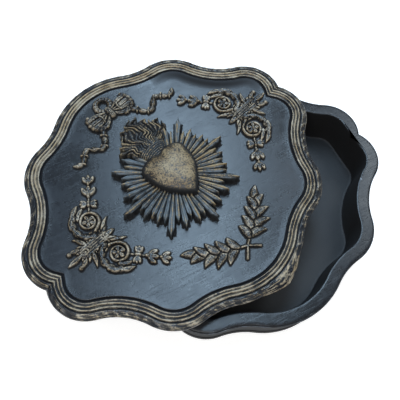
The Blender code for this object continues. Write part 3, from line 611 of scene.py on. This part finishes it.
def tapered(width, foot=0.30, power=0.8):
    """Half width of a leaf: narrow foot, widest before its middle, pointed tip."""
    def half_width(share):
        rounded = np.sin(pi * np.clip(0.10 + 0.90 * np.asarray(share) ** power, 0.0, 1.0))
        return width / 2 * np.maximum(rounded, foot * (1.0 - np.asarray(share)) + 0.02)
    return half_width


def even(value):
    """The same value all along a spine."""
    def same(share):
        return value + 0.0 * np.asarray(share)
    return same


def running(start, end):
    """A value that runs evenly from start to end along a spine."""
    def between(share):
        return start + (end - start) * np.asarray(share)
    return between


def curve(start, end, bow, steps=8):
    """Points from start to end, bowed to the left by bow at the middle."""
    shares = np.linspace(0.0, 1.0, steps + 1)
    ahead = np.array(end, dtype=float) - np.array(start, dtype=float)
    left = np.array([-ahead[1], ahead[0]]) / np.hypot(*ahead)
    return np.array(start) + np.outer(shares, ahead) + np.outer(bow * np.sin(pi * shares), left)


def round_arc(centre, radius, start, end, steps=20, end_radius=None):
    """Points of an arc or spiral, with angles in degrees."""
    shares = np.linspace(0.0, 1.0, steps + 1)
    angles = np.radians(start + (end - start) * shares)
    radii = radius + ((end_radius if end_radius else radius) - radius) * shares
    return np.column_stack([centre[0] + radii * np.cos(angles), centre[1] + radii * np.sin(angles)])


def softened(field, reach):
    """Mean value within reach cells."""
    kernel = np.ones(2 * reach + 1) / (2 * reach + 1)
    for axis in (0, 1):
        field = np.apply_along_axis(np.convolve, axis, field, kernel, "same")
    return field


def spread(field, reach):
    """Largest value within reach cells."""
    widest = field.copy()
    for rows in range(-reach, reach + 1):
        for columns in range(-reach, reach + 1):
            if 0 < hypot(rows, columns) <= reach + 0.3:
                widest = np.maximum(widest, np.roll(field, (rows, columns), axis=(0, 1)))
    return widest


CASTING_EDGE = 0.12
# CREVICE is how far the black sheet of painted shade reaches out round a casting.
CREVICE = 0.95
CREVICE_LEVEL = 0.07
BORDER_LEVEL = -0.25


def cast_piece(name, relief, finish, place, gilt_depth, lifted=None, sunk=0.0, bloom=None):
    """Turn a relief into a mesh with a thin black sheet of painted shade round its foot, and lay it on the lid.

    gilt_depth is how far a form has to stand out to take gilt; lifted, sunk and bloom are marks
    given point by point.
    """
    height = relief.height
    solid = height > CASTING_EDGE

    def cells(distance):
        return max(1, int(round(distance / relief.pitch)))

    line = spread(solid.astype(float), cells(CREVICE)) > 0.5
    border = spread(line.astype(float), 1) > 0.5
    level = np.where(solid, height, np.where(line, CREVICE_LEVEL, BORDER_LEVEL))
    ground = softened(height, cells(1.1))
    raised = np.clip((height - ground) / gilt_depth * 0.5 + 0.35, 0.0, 1.0)
    if lifted is not None:
        raised = np.where(lifted > 0.0, lifted, raised)
    # Painted shade: cells lying below their surroundings are darkened, and all round the solid it is black.
    nearby = softened(spread(height, cells(0.9)), 2)
    shade_mark = np.clip((nearby - height) / (1.6 * gilt_depth) - 0.35, 0.0, 1.0)
    shade_mark = np.maximum(np.where(raised > 0.55, shade_mark * 0.3, shade_mark), sunk)
    shade_mark = np.where(solid, shade_mark, 1.0)
    raised = np.where(solid, raised, 0.0)
    keep = border[:-1, :-1] & border[1:, :-1] & border[:-1, 1:] & border[1:, 1:]
    numbers = np.arange(height.size).reshape(height.shape)
    quads = np.stack([numbers[:-1, :-1][keep], numbers[:-1, 1:][keep],
                      numbers[1:, 1:][keep], numbers[1:, :-1][keep]], axis=1)
    used = np.unique(quads)
    renumbered = np.zeros(height.size, dtype=int)
    renumbered[used] = np.arange(len(used))
    points = np.column_stack([relief.x.ravel()[used], relief.y.ravel()[used], level.ravel()[used]])
    x, y, turn = place
    seat = lid_place @ Matrix.Translation((x / 1000, y / 1000, LID_FIELD / 1000)) @ Matrix.Rotation(turn, 4, "Z")
    marks = {"raised": raised.ravel()[used], "shade_mark": shade_mark.ravel()[used]}
    if bloom is not None:
        marks["bloom"] = bloom.ravel()[used]
    piece = add_piece(name + "_casting", points, renumbered[quads].tolist(), finish, marks, seat)
    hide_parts(name)


heart_relief = Relief(-46.0, 46.0, -46.0, 57.0, 0.28)
sacred_marks = {}


def lay_on(part, level, gilt, painted_shade, bloom):
    """Set the height of one part of the heart's casting, how gilt and pale it is, and how much painted shade darkens
    it.
    """
    heart_relief.height = np.where(part, level, heart_relief.height)
    for mark, value, bare in (("gilt", gilt, 0.0), ("painted_shade", painted_shade, 1.0), ("bloom", bloom, 0.0)):
        sacred_marks[mark] = np.where(part, value, sacred_marks.get(mark, bare))


# Rays: six lengths that repeat, each ray with a gilded ridge and a groove to both sides of it.
RAY_COUNT = 48
LONG_RAY = 44.0
RAY_LENGTHS = np.array([LONG_RAY, 35.2, 37.8, 33.9, 37.8, 35.2])
RAY_TOP = 8.0
RAY_ROUNDING = 1.1
RIDGE_HALF = 0.35
RIDGE_RISE = 0.40
GROOVE_AWAY = 0.85
GROOVE_HALF = 0.25
GROOVE_DEPTH = 0.30
WEB_LEVEL = 5.0
WEB_REACH = 0.74
BACK_LEVEL = 1.0
BACK_REACH = 0.95
ray_pitch = tau / RAY_COUNT
ray_distance = np.hypot(heart_relief.x, heart_relief.y)
ray_angle = np.arctan2(heart_relief.y, heart_relief.x)
ray_index = np.round(ray_angle / ray_pitch).astype(int) % RAY_COUNT
ray_length = RAY_LENGTHS[ray_index % len(RAY_LENGTHS)] + 1.1 * np.sin(ray_index * 2.4)
ray_across = ray_distance * np.sin(ray_angle - np.round(ray_angle / ray_pitch) * ray_pitch)
ray_half = np.minimum(ray_distance * ray_pitch / 2 * 0.94, (ray_length - ray_distance) * 0.42)
ray_ratio = np.abs(ray_across) / np.maximum(ray_half, 1e-3)
ray_level = RAY_TOP - 1.0 * (ray_distance / LONG_RAY) - RAY_ROUNDING * np.clip(ray_ratio, 0.0, 1.0) ** 2.6
ray_ridge = 0.35 + 0.30 * np.sin(ray_index * 3.7)
ray_level += RIDGE_RISE * np.exp(-((ray_across - ray_ridge) / RIDGE_HALF) ** 2)
ray_groove = np.exp(-((np.abs(ray_across - ray_ridge) - GROOVE_AWAY) / GROOVE_HALF) ** 2)
ray_level -= GROOVE_DEPTH * ray_groove
ray_solid = (ray_ratio < 1.0) & (ray_half > 0.0)
# The gilt is painted stronger and wider towards the +X side and the outer ends, a painted highlight where the light
# falls; the sides and grooves of the rays get painted shade.
ray_strength = 0.62 + 0.25 * np.sin(ray_index * 1.9) + 0.15 * np.sin(ray_distance * 0.55 + ray_index)
ray_strength = ray_strength + 0.25 * np.cos(ray_angle) * (ray_distance / LONG_RAY)
ray_shine = 0.70 + 0.50 * np.clip(np.cos(ray_angle + 0.3), 0.0, 1.0)
lay_on(ray_solid, ray_level, 0.12 + ray_strength * np.exp(-((ray_across - ray_ridge) / ray_shine) ** 2),
       np.clip(np.clip((ray_ratio - 0.78) / 0.18, 0.0, 1.0) + 0.60 * ray_groove, 0.0, 1.0),
       1.0 - 0.35 * (ray_distance / LONG_RAY) ** 3)
# The web between the rays and the low back behind them are set without marks, so they stay fully black as painted
# shade.
ray_web = (ray_distance < WEB_REACH * ray_length) & (ray_ratio >= 1.0)
heart_relief.height = np.where(ray_web, WEB_LEVEL, heart_relief.height)
ray_back = (ray_distance < ray_length * BACK_REACH) & (heart_relief.height == 0.0)
heart_relief.height = np.where(ray_back, BACK_LEVEL, heart_relief.height)

# Flames: one domed mass of strands that fan out from the neck in waves, ragged at the tips.
flame_angles = np.radians([-8.0, 3.0, 29.0, 48.0, 66.0, 91.0, 110.0, 129.0, 150.0, 169.0, 186.0])
flame_reaches = np.array([15.0, 20.5, 22.5, 20.0, 22.5, 24.4, 20.5, 18.6, 19.0, 20.8, 15.0])
FLAME_MIDDLE = (0.5, 30.0)
flame_x, flame_y = heart_relief.x - FLAME_MIDDLE[0], heart_relief.y - FLAME_MIDDLE[1]
flame_edge = np.interp(np.arctan2(flame_y, flame_x) % tau, flame_angles, flame_reaches)
flame_share = np.hypot(flame_x, flame_y) / flame_edge
FLAME_STRANDS_PER_RADIAN = 9.0
FLAME_WAVE = 0.085
FLAME_WAVE_LENGTH = 15.0
FLAME_ROOT = (1.0, 17.0)
FLAME_FOOT = 4.5
FLAME_LEVEL = 7.8
FLAME_DOME = 3.0
STRAND_RISE = 1.1
fan_x, fan_y = heart_relief.x - FLAME_ROOT[0], heart_relief.y - FLAME_ROOT[1]
fan_out = np.hypot(fan_x, fan_y)
fan_angle = np.arctan2(fan_x, fan_y)
strand_wave = FLAME_WAVE * np.sin(tau * fan_out / FLAME_WAVE_LENGTH + 3.2 * np.sin(2.3 * fan_angle + 0.4))
strand_wave += 0.35 * FLAME_WAVE * np.sin(tau * fan_out / 7.3 + 6.0 * fan_angle)
strand_place = FLAME_STRANDS_PER_RADIAN * (fan_angle + strand_wave)
strand_crest = 0.5 + 0.5 * np.cos(tau * strand_place)
strand_number = np.round(strand_place)
curled_tip = 0.80 + 0.13 * strand_crest + 0.09 * np.sin(2.4 * strand_number)
flame_inside = (flame_share < curled_tip) & (flame_y > -FLAME_FOOT)
flame_level = FLAME_LEVEL + FLAME_DOME * np.sqrt(np.clip(1.0 - flame_share ** 2, 0.0, 1.0))
flame_level = flame_level + STRAND_RISE * strand_crest ** 0.8
flame_level += 0.7 * np.sin(1.7 * strand_number)
strand_light = 0.62 + 0.30 * np.sin(1.3 * strand_number + 0.30 * fan_out)
# The gaps between the strands get painted shade.
lay_on(flame_inside, flame_level, np.clip((strand_crest - 0.45) / 0.45, 0.0, 1.0) * strand_light,
       np.clip((0.62 - strand_crest) / 0.30, 0.0, 1.0), 0.12)

# Neck: a flared cylinder between heart and flames, wound with slanting cords.
NECK_MIDDLE = 1.2
NECK_FOOT = 15.0
NECK_LENGTH = 13.5
NECK_FOOT_HALF = 7.2
NECK_FLARE = 4.5
NECK_LEVEL = 7.0
NECK_DOME = 4.0
CORD_PITCH = 1.55
CORD_RISE = 0.7
neck_share = np.clip((heart_relief.y - NECK_FOOT) / NECK_LENGTH, 0.0, 1.0)
neck_half = NECK_FOOT_HALF + NECK_FLARE * neck_share
cord_x = heart_relief.x - NECK_MIDDLE
neck_ratio = np.abs(cord_x) / neck_half
neck_inside = (neck_ratio < 1.0) & (heart_relief.y > NECK_FOOT - 2.0) & (heart_relief.y < NECK_FOOT + NECK_LENGTH)
neck_level = NECK_LEVEL + NECK_DOME * np.sqrt(np.clip(1.0 - neck_ratio ** 2, 0.0, 1.0))
neck_shows = neck_inside & (neck_level > heart_relief.height)
cord_place = (heart_relief.y - 0.07 * cord_x + 0.018 * cord_x ** 2) / CORD_PITCH
cord_crest = 0.5 + 0.5 * np.cos(tau * cord_place)
# The gaps between the cords get painted shade.
lay_on(neck_shows, neck_level + CORD_RISE * cord_crest, 0.62 * np.clip((cord_crest - 0.55) / 0.35, 0.0, 1.0),
       np.clip((0.45 - cord_crest) / 0.35, 0.0, 0.9), 0.35)

# Heart: a smooth dome, speckled all over and black at its edge.
HEART_HALF_WIDTH = 17.8
HEART_SHOULDER = 9.6
HEART_LOBE_RISE = 9.6
HEART_CLEFT = 2.6
HEART_POINT_DROP = 31.3
HEART_MIDDLE = (0.6, 1.0)
HEART_SIDE_LEVEL = 9.6
HEART_DOME = 5.9
heart_angles = np.linspace(0.0, tau, 721)
heart_fall = -np.cos(heart_angles)
heart_sides = np.sin(heart_angles)
upper_x = HEART_HALF_WIDTH * heart_sides
upper_y = HEART_SHOULDER + HEART_LOBE_RISE * np.clip(-heart_fall, 0.0, 1.0) ** 0.6
upper_y = upper_y - HEART_CLEFT * np.exp(-(upper_x / 3.8) ** 2)
lower_x = np.sign(heart_sides) * HEART_HALF_WIDTH * (1.0 - np.clip(heart_fall, 0.0, 1.0) ** 2.2)
lower_y = HEART_SHOULDER - HEART_POINT_DROP * np.clip(heart_fall, 0.0, 1.0)
heart_x = np.where(heart_fall <= 0.0, upper_x, lower_x)
heart_y = np.where(heart_fall <= 0.0, upper_y, lower_y) - HEART_MIDDLE[1]
heart_turns = np.arctan2(heart_y, heart_x)
heart_order = np.argsort(heart_turns)
from_middle = heart_relief.x - HEART_MIDDLE[0], heart_relief.y - HEART_MIDDLE[1]
heart_edge = np.interp(np.arctan2(from_middle[1], from_middle[0]), heart_turns[heart_order],
                       np.hypot(heart_x, heart_y)[heart_order], period=tau)
heart_ratio = np.hypot(*from_middle) / heart_edge
heart_level = HEART_SIDE_LEVEL + HEART_DOME * np.sqrt(np.clip(1.0 - heart_ratio ** 2.2, 0.0, 1.0)) ** 0.9
# Painted shade blackens the heart towards its edge, and a base share of it darkens the whole heart evenly.
lay_on(heart_ratio < 1.0, heart_level, np.clip(0.92 - 0.9 * heart_ratio ** 6, 0.02, 0.80),
       np.clip(0.20 + (heart_ratio - 0.84) / 0.14, 0.20, 1.0), 0.0)
sacred_finish = resin_finish("black_resin_gilt_heart", (0.002, 0.003, 0.004), (0.20, 0.25, 0.29), 0.9, 0.3,
                             gilt=(0.27, 0.175, 0.075), pale_gilt=(0.36, 0.28, 0.165), cover=0.45, speckle=1.0,
                             bump=0.00025, bloom_marked=True)
SACRED_HEART_SEAT = (0.6, -1.0, radians(-2.0))
cast_piece("sacred_heart", heart_relief, sacred_finish, SACRED_HEART_SEAT, 1.6,
           sacred_marks["gilt"], sacred_marks["painted_shade"], sacred_marks["bloom"])


# Ribbon bow. A low casting of twisted ribbon: a knot, a ruffled ring above it, a folded loop
# to each side, and two tails that hang in waves. Pale gilt brushed over black.
bow_relief = Relief(-48.0, 48.0, -24.0, 20.0, 0.25)
bow_relief.stroke(curve((0.0, -2.6), (0.0, 2.8), 0.0, 2), even(2.7), even(4.0), fullness=2.4, flutes=0.25)
ruffle = round_arc((0.0, 8.3), 5.4, -78.0, 258.0, 64)
bow_relief.stroke(ruffle, lambda share: 1.7 + 0.45 * np.cos(tau * 13 * share),
                  lambda share: 2.6 + 0.55 * np.cos(tau * 13 * share), fullness=2.4)
BOW_FOLDS = ((16.5, 4.6, 3.2), (17.3, 0.6, 2.6), (16.4, -3.4, 2.9), (13.6, -7.0, 2.4))
for fold, (end_x, end_y, lift) in enumerate(BOW_FOLDS):
    bow_relief.stroke(curve((1.6, 0.6 - 0.5 * fold), (end_x, end_y), 1.4 - 1.1 * fold, 10),
                      running(1.1, 2.2), even(lift), fullness=2.6, flutes=0.28, flute_pitch=1.3, moat=0.4)
bow_relief.stroke(curve((15.4, 6.4), (14.2, -7.6), 3.0, 18), lambda share: 1.5 + 0.35 * np.cos(tau * 5 * share),
                  lambda share: 3.3 + 0.5 * np.cos(tau * 5 * share), fullness=2.2)
bow_relief.stroke(curve((8.5, 3.2), (8.0, -3.6), -1.0, 8), even(0.9), even(3.4), fullness=2.2)
TAIL_START = 9.0
TAIL_END = 46.5
TAIL_POINTS = 60
TAIL_WAVE = 3.2
TAIL_WAVE_LENGTH = 19.0
TAIL_TWISTS = 7.5
tail_reach = np.linspace(TAIL_START, TAIL_END, TAIL_POINTS)
tail_line = -15.5 + TAIL_WAVE * np.cos(tau * (tail_reach - 32.5) / TAIL_WAVE_LENGTH)
tail_line += 8.0 * np.clip(1.0 - (tail_reach - TAIL_START) / 9.0, 0.0, 1.0)
bow_relief.stroke(np.column_stack([tail_reach, tail_line]),
                  lambda share: ((1.15 + 0.85 * np.abs(np.cos(pi * TAIL_TWISTS * share)))
                                 * (1.0 - 0.35 * share ** 6)),
                  lambda share: 1.9 + 0.9 * np.abs(np.cos(pi * TAIL_TWISTS * share)), fullness=2.2)
for twist in range(int(TAIL_TWISTS)):
    here = int((twist + 0.5) / TAIL_TWISTS * (TAIL_POINTS - 1))
    middle = np.array([tail_reach[here], tail_line[here]])
    bow_relief.stroke(curve(middle + (-1.5, -1.5), middle + (1.5, 1.5), 0.3, 4), even(0.55), even(2.9))
bow_relief.height = np.maximum(bow_relief.height, bow_relief.height[:, ::-1])
ornament_finish = resin_finish("black_resin_dry_gilt", (0.002, 0.002, 0.003), (0.012, 0.014, 0.017), 0.5, 0.2,
                               gilt=(0.40, 0.29, 0.16), pale_gilt=(0.46, 0.40, 0.31), cover=0.47, speckle=0.6,
                               bump=0.00018)
ORNAMENT_GILT_DEPTH = 0.85
BOW_SEAT = (3.5, 69.5, 0.0)
cast_piece("ribbon_bow", bow_relief, ornament_finish, BOW_SEAT, ORNAMENT_GILT_DEPTH)


# Scroll corners. One acanthus casting used at both notches: a fluted trunk with a collar, two
# leafy scrolls with a rosette in each, a fleuron outward, and drops of small bell flowers.
scroll_relief = Relief(-31.0, 29.0, -46.0, 46.0, 0.25)
scroll_relief.stroke(curve((-4.6, 0.0), (11.0, 0.0), 0.0, 6), running(3.4, 4.7), even(3.2), fullness=4.0,
                     flutes=0.35, flute_pitch=1.7)
scroll_relief.stroke(curve((-4.7, 0.0), (-4.7, 4.3), 0.0, 3), even(0.95), even(4.0))
INNER_LEAVES = (((-14.7, 10.0), -1.4, 3.0), ((-12.0, 0.3), 0.0, 2.6), ((-10.0, 5.2), -0.6, 2.4))
for tip, bow, wide in INNER_LEAVES:
    scroll_relief.stroke(curve((-4.2, 0.8), tip, bow), tapered(wide, 0.8), running(3.0, 2.0), vein=0.5, moat=0.4)
SCROLL_CENTRE = (-3.6, 14.8)
TRUNK_LEAVES = (((8.5, 1.0), (12.4, 12.8), 1.2, 3.4), ((5.0, 2.5), (8.6, 9.0), 1.5, 3.2),
                ((1.5, 3.0), (6.8, 9.8), 2.0, 3.0), ((9.5, 0.5), (13.8, 6.6), 0.8, 3.0),
                ((-1.0, 3.0), (3.0, 8.6), 1.6, 2.2))
for start, tip, bow, wide in TRUNK_LEAVES:
    scroll_relief.stroke(curve(start, tip, bow), tapered(wide, 0.7), running(3.4, 2.4), vein=0.55, moat=0.45)
scroll_relief.stroke(np.concatenate([[(4.5, 3.6)], round_arc(SCROLL_CENTRE, 7.1, -105.0, -560.0, 60, 3.6)]),
                     running(1.25, 0.85), running(3.2, 2.6), fullness=2.2, moat=0.45)
scroll_relief.stroke(round_arc(SCROLL_CENTRE, 10.9, -70.0, 55.0, 26),
                     lambda share: 2.0 + 0.55 * np.cos(tau * 4 * share), even(3.0), fullness=2.2, vein=0.5,
                     moat=0.4)
scroll_relief.stroke(round_arc(SCROLL_CENTRE, 11.6, 20.0, 62.0, 10), tapered(3.8, 0.9), even(3.5), vein=0.4)
scroll_relief.stroke(curve((2.2, 24.8), (-5.4, 29.0), -0.6), tapered(3.6, 0.9), running(3.2, 2.2), vein=0.5)
scroll_relief.stroke(curve((0.5, 21.0), (-6.8, 25.2), -0.8), tapered(3.0, 0.9), running(2.8, 2.2), vein=0.4)
PETALS = 5
for petal in range(PETALS):
    turn = radians(360.0 / PETALS * petal + 20.0)
    foot = (SCROLL_CENTRE[0] + 0.8 * cos(turn), SCROLL_CENTRE[1] + 0.8 * sin(turn))
    tip = (SCROLL_CENTRE[0] + 4.4 * cos(turn), SCROLL_CENTRE[1] + 4.4 * sin(turn))
    scroll_relief.stroke(curve(foot, tip, 0.3, 4), tapered(3.0, 0.6, 1.3), running(3.2, 2.7), vein=0.5)
rosette_eye = [SCROLL_CENTRE, (SCROLL_CENTRE[0] + 0.1, SCROLL_CENTRE[1])]
scroll_relief.stroke(rosette_eye, even(1.2), even(3.9), fullness=2.0)
FLEURON_LEAVES = (((25.6, 0.0), 3.4), ((19.6, 6.6), 3.2), ((16.5, 3.2), 2.4))
for tip, wide in FLEURON_LEAVES:
    scroll_relief.stroke(curve((11.2, 0.0), tip, 1.2 if tip[1] > 5 else 0.0), tapered(wide, 0.6, 1.5),
                         running(3.0, 2.5), vein=0.5, moat=0.4)
scroll_relief.stroke([(19.6, 6.0), (20.0, 6.2)], even(1.5), even(2.9), fullness=2.0)
CHAIN_TURN = radians(129.0)
BELL_FLOWERS = ((22.3, 1.0), (30.8, 0.84))
chain_ahead = np.array([cos(CHAIN_TURN), sin(CHAIN_TURN)])
chain_left = np.array([-chain_ahead[1], chain_ahead[0]])
hub = np.array(SCROLL_CENTRE)
scroll_relief.stroke([hub + 8.0 * chain_ahead, hub + 31.0 * chain_ahead], even(0.6), even(1.5))
for side in (1.0, -1.0):
    for lean in (-0.45, 0.0, 0.45):
        foot = hub + 12.6 * chain_ahead + 0.5 * side * chain_left
        tip = foot + 5.4 * (side * chain_left * cos(lean) + chain_ahead * sin(lean))
        scroll_relief.stroke(curve(foot, tip, 0.0, 5), tapered(2.7, 0.7, 1.4), running(2.6, 2.9), vein=0.35)
scroll_relief.stroke([hub + 11.6 * chain_ahead, hub + 13.6 * chain_ahead], even(1.3), even(3.4), fullness=2.2)
for reach, size in BELL_FLOWERS:
    for lean in (-0.62, 0.0, 0.62):
        foot = hub + (reach - 3.4 * size) * chain_ahead
        heading_out = chain_ahead * cos(lean) + chain_left * sin(lean)
        scroll_relief.stroke(curve(foot, foot + 7.4 * size * heading_out, 0.8 * lean, 6),
                             tapered(3.5 * size, 0.7, 1.3), running(2.7, 2.9), vein=0.45)
    scroll_relief.stroke([hub + (reach - 4.2 * size) * chain_ahead, hub + (reach - 2.6 * size) * chain_ahead],
                         even(1.1 * size), even(3.3), fullness=2.2)
scroll_relief.height = np.maximum(scroll_relief.height, scroll_relief.height[::-1])
SCROLL_SEATS = {"scroll_corner_right": (71.0, 2.6, 0.0), "scroll_corner_left": (-65.7, 0.4, pi)}
for corner, seat in SCROLL_SEATS.items():
    cast_piece(corner, scroll_relief, ornament_finish, seat, ORNAMENT_GILT_DEPTH)


# Laurel. Two low branches with crossed stems, each leaf with a sunk midrib, in the same pale
# gilt over black.
laurel_relief = Relief(-40.0, 40.0, -9.0, 30.0, 0.25)
branch = np.array([(0.0, 0.0), (5.0, 3.0), (12.0, 6.5), (20.0, 11.5), (27.0, 17.5)])
laurel_relief.stroke(np.concatenate([[(-6.2, -5.8)], branch]), running(0.95, 0.65), even(2.0), fullness=2.2)
LAUREL_LEAVES = (((26.5, 17.0), (35.4, 25.8), 0.9), ((24.0, 14.8), (34.2, 17.4), 1.4),
                 ((21.0, 12.4), (25.4, 24.0), -1.2), ((17.0, 9.6), (30.0, 9.0), 1.5),
                 ((15.5, 8.6), (18.8, 20.4), -1.4), ((11.0, 6.0), (24.6, 2.6), 1.7),
                 ((10.0, 5.4), (12.6, 17.0), -1.5), ((6.0, 3.4), (17.4, -1.2), 1.5),
                 ((5.0, 3.0), (5.8, 13.4), -1.3))
for foot, tip, bow in LAUREL_LEAVES:
    laurel_relief.stroke(curve(foot, tip, bow, 10), tapered(5.6, 0.25, 0.9), running(2.3, 2.8), fullness=2.4,
                         vein=0.8, flutes=0.10, flute_pitch=0.9, moat=0.5)
laurel_relief.height = np.maximum(laurel_relief.height, laurel_relief.height[:, ::-1])
LAUREL_SEAT = (0.0, -69.5, 0.0)
cast_piece("laurel_spray", laurel_relief, ornament_finish, LAUREL_SEAT,
           ORNAMENT_GILT_DEPTH)
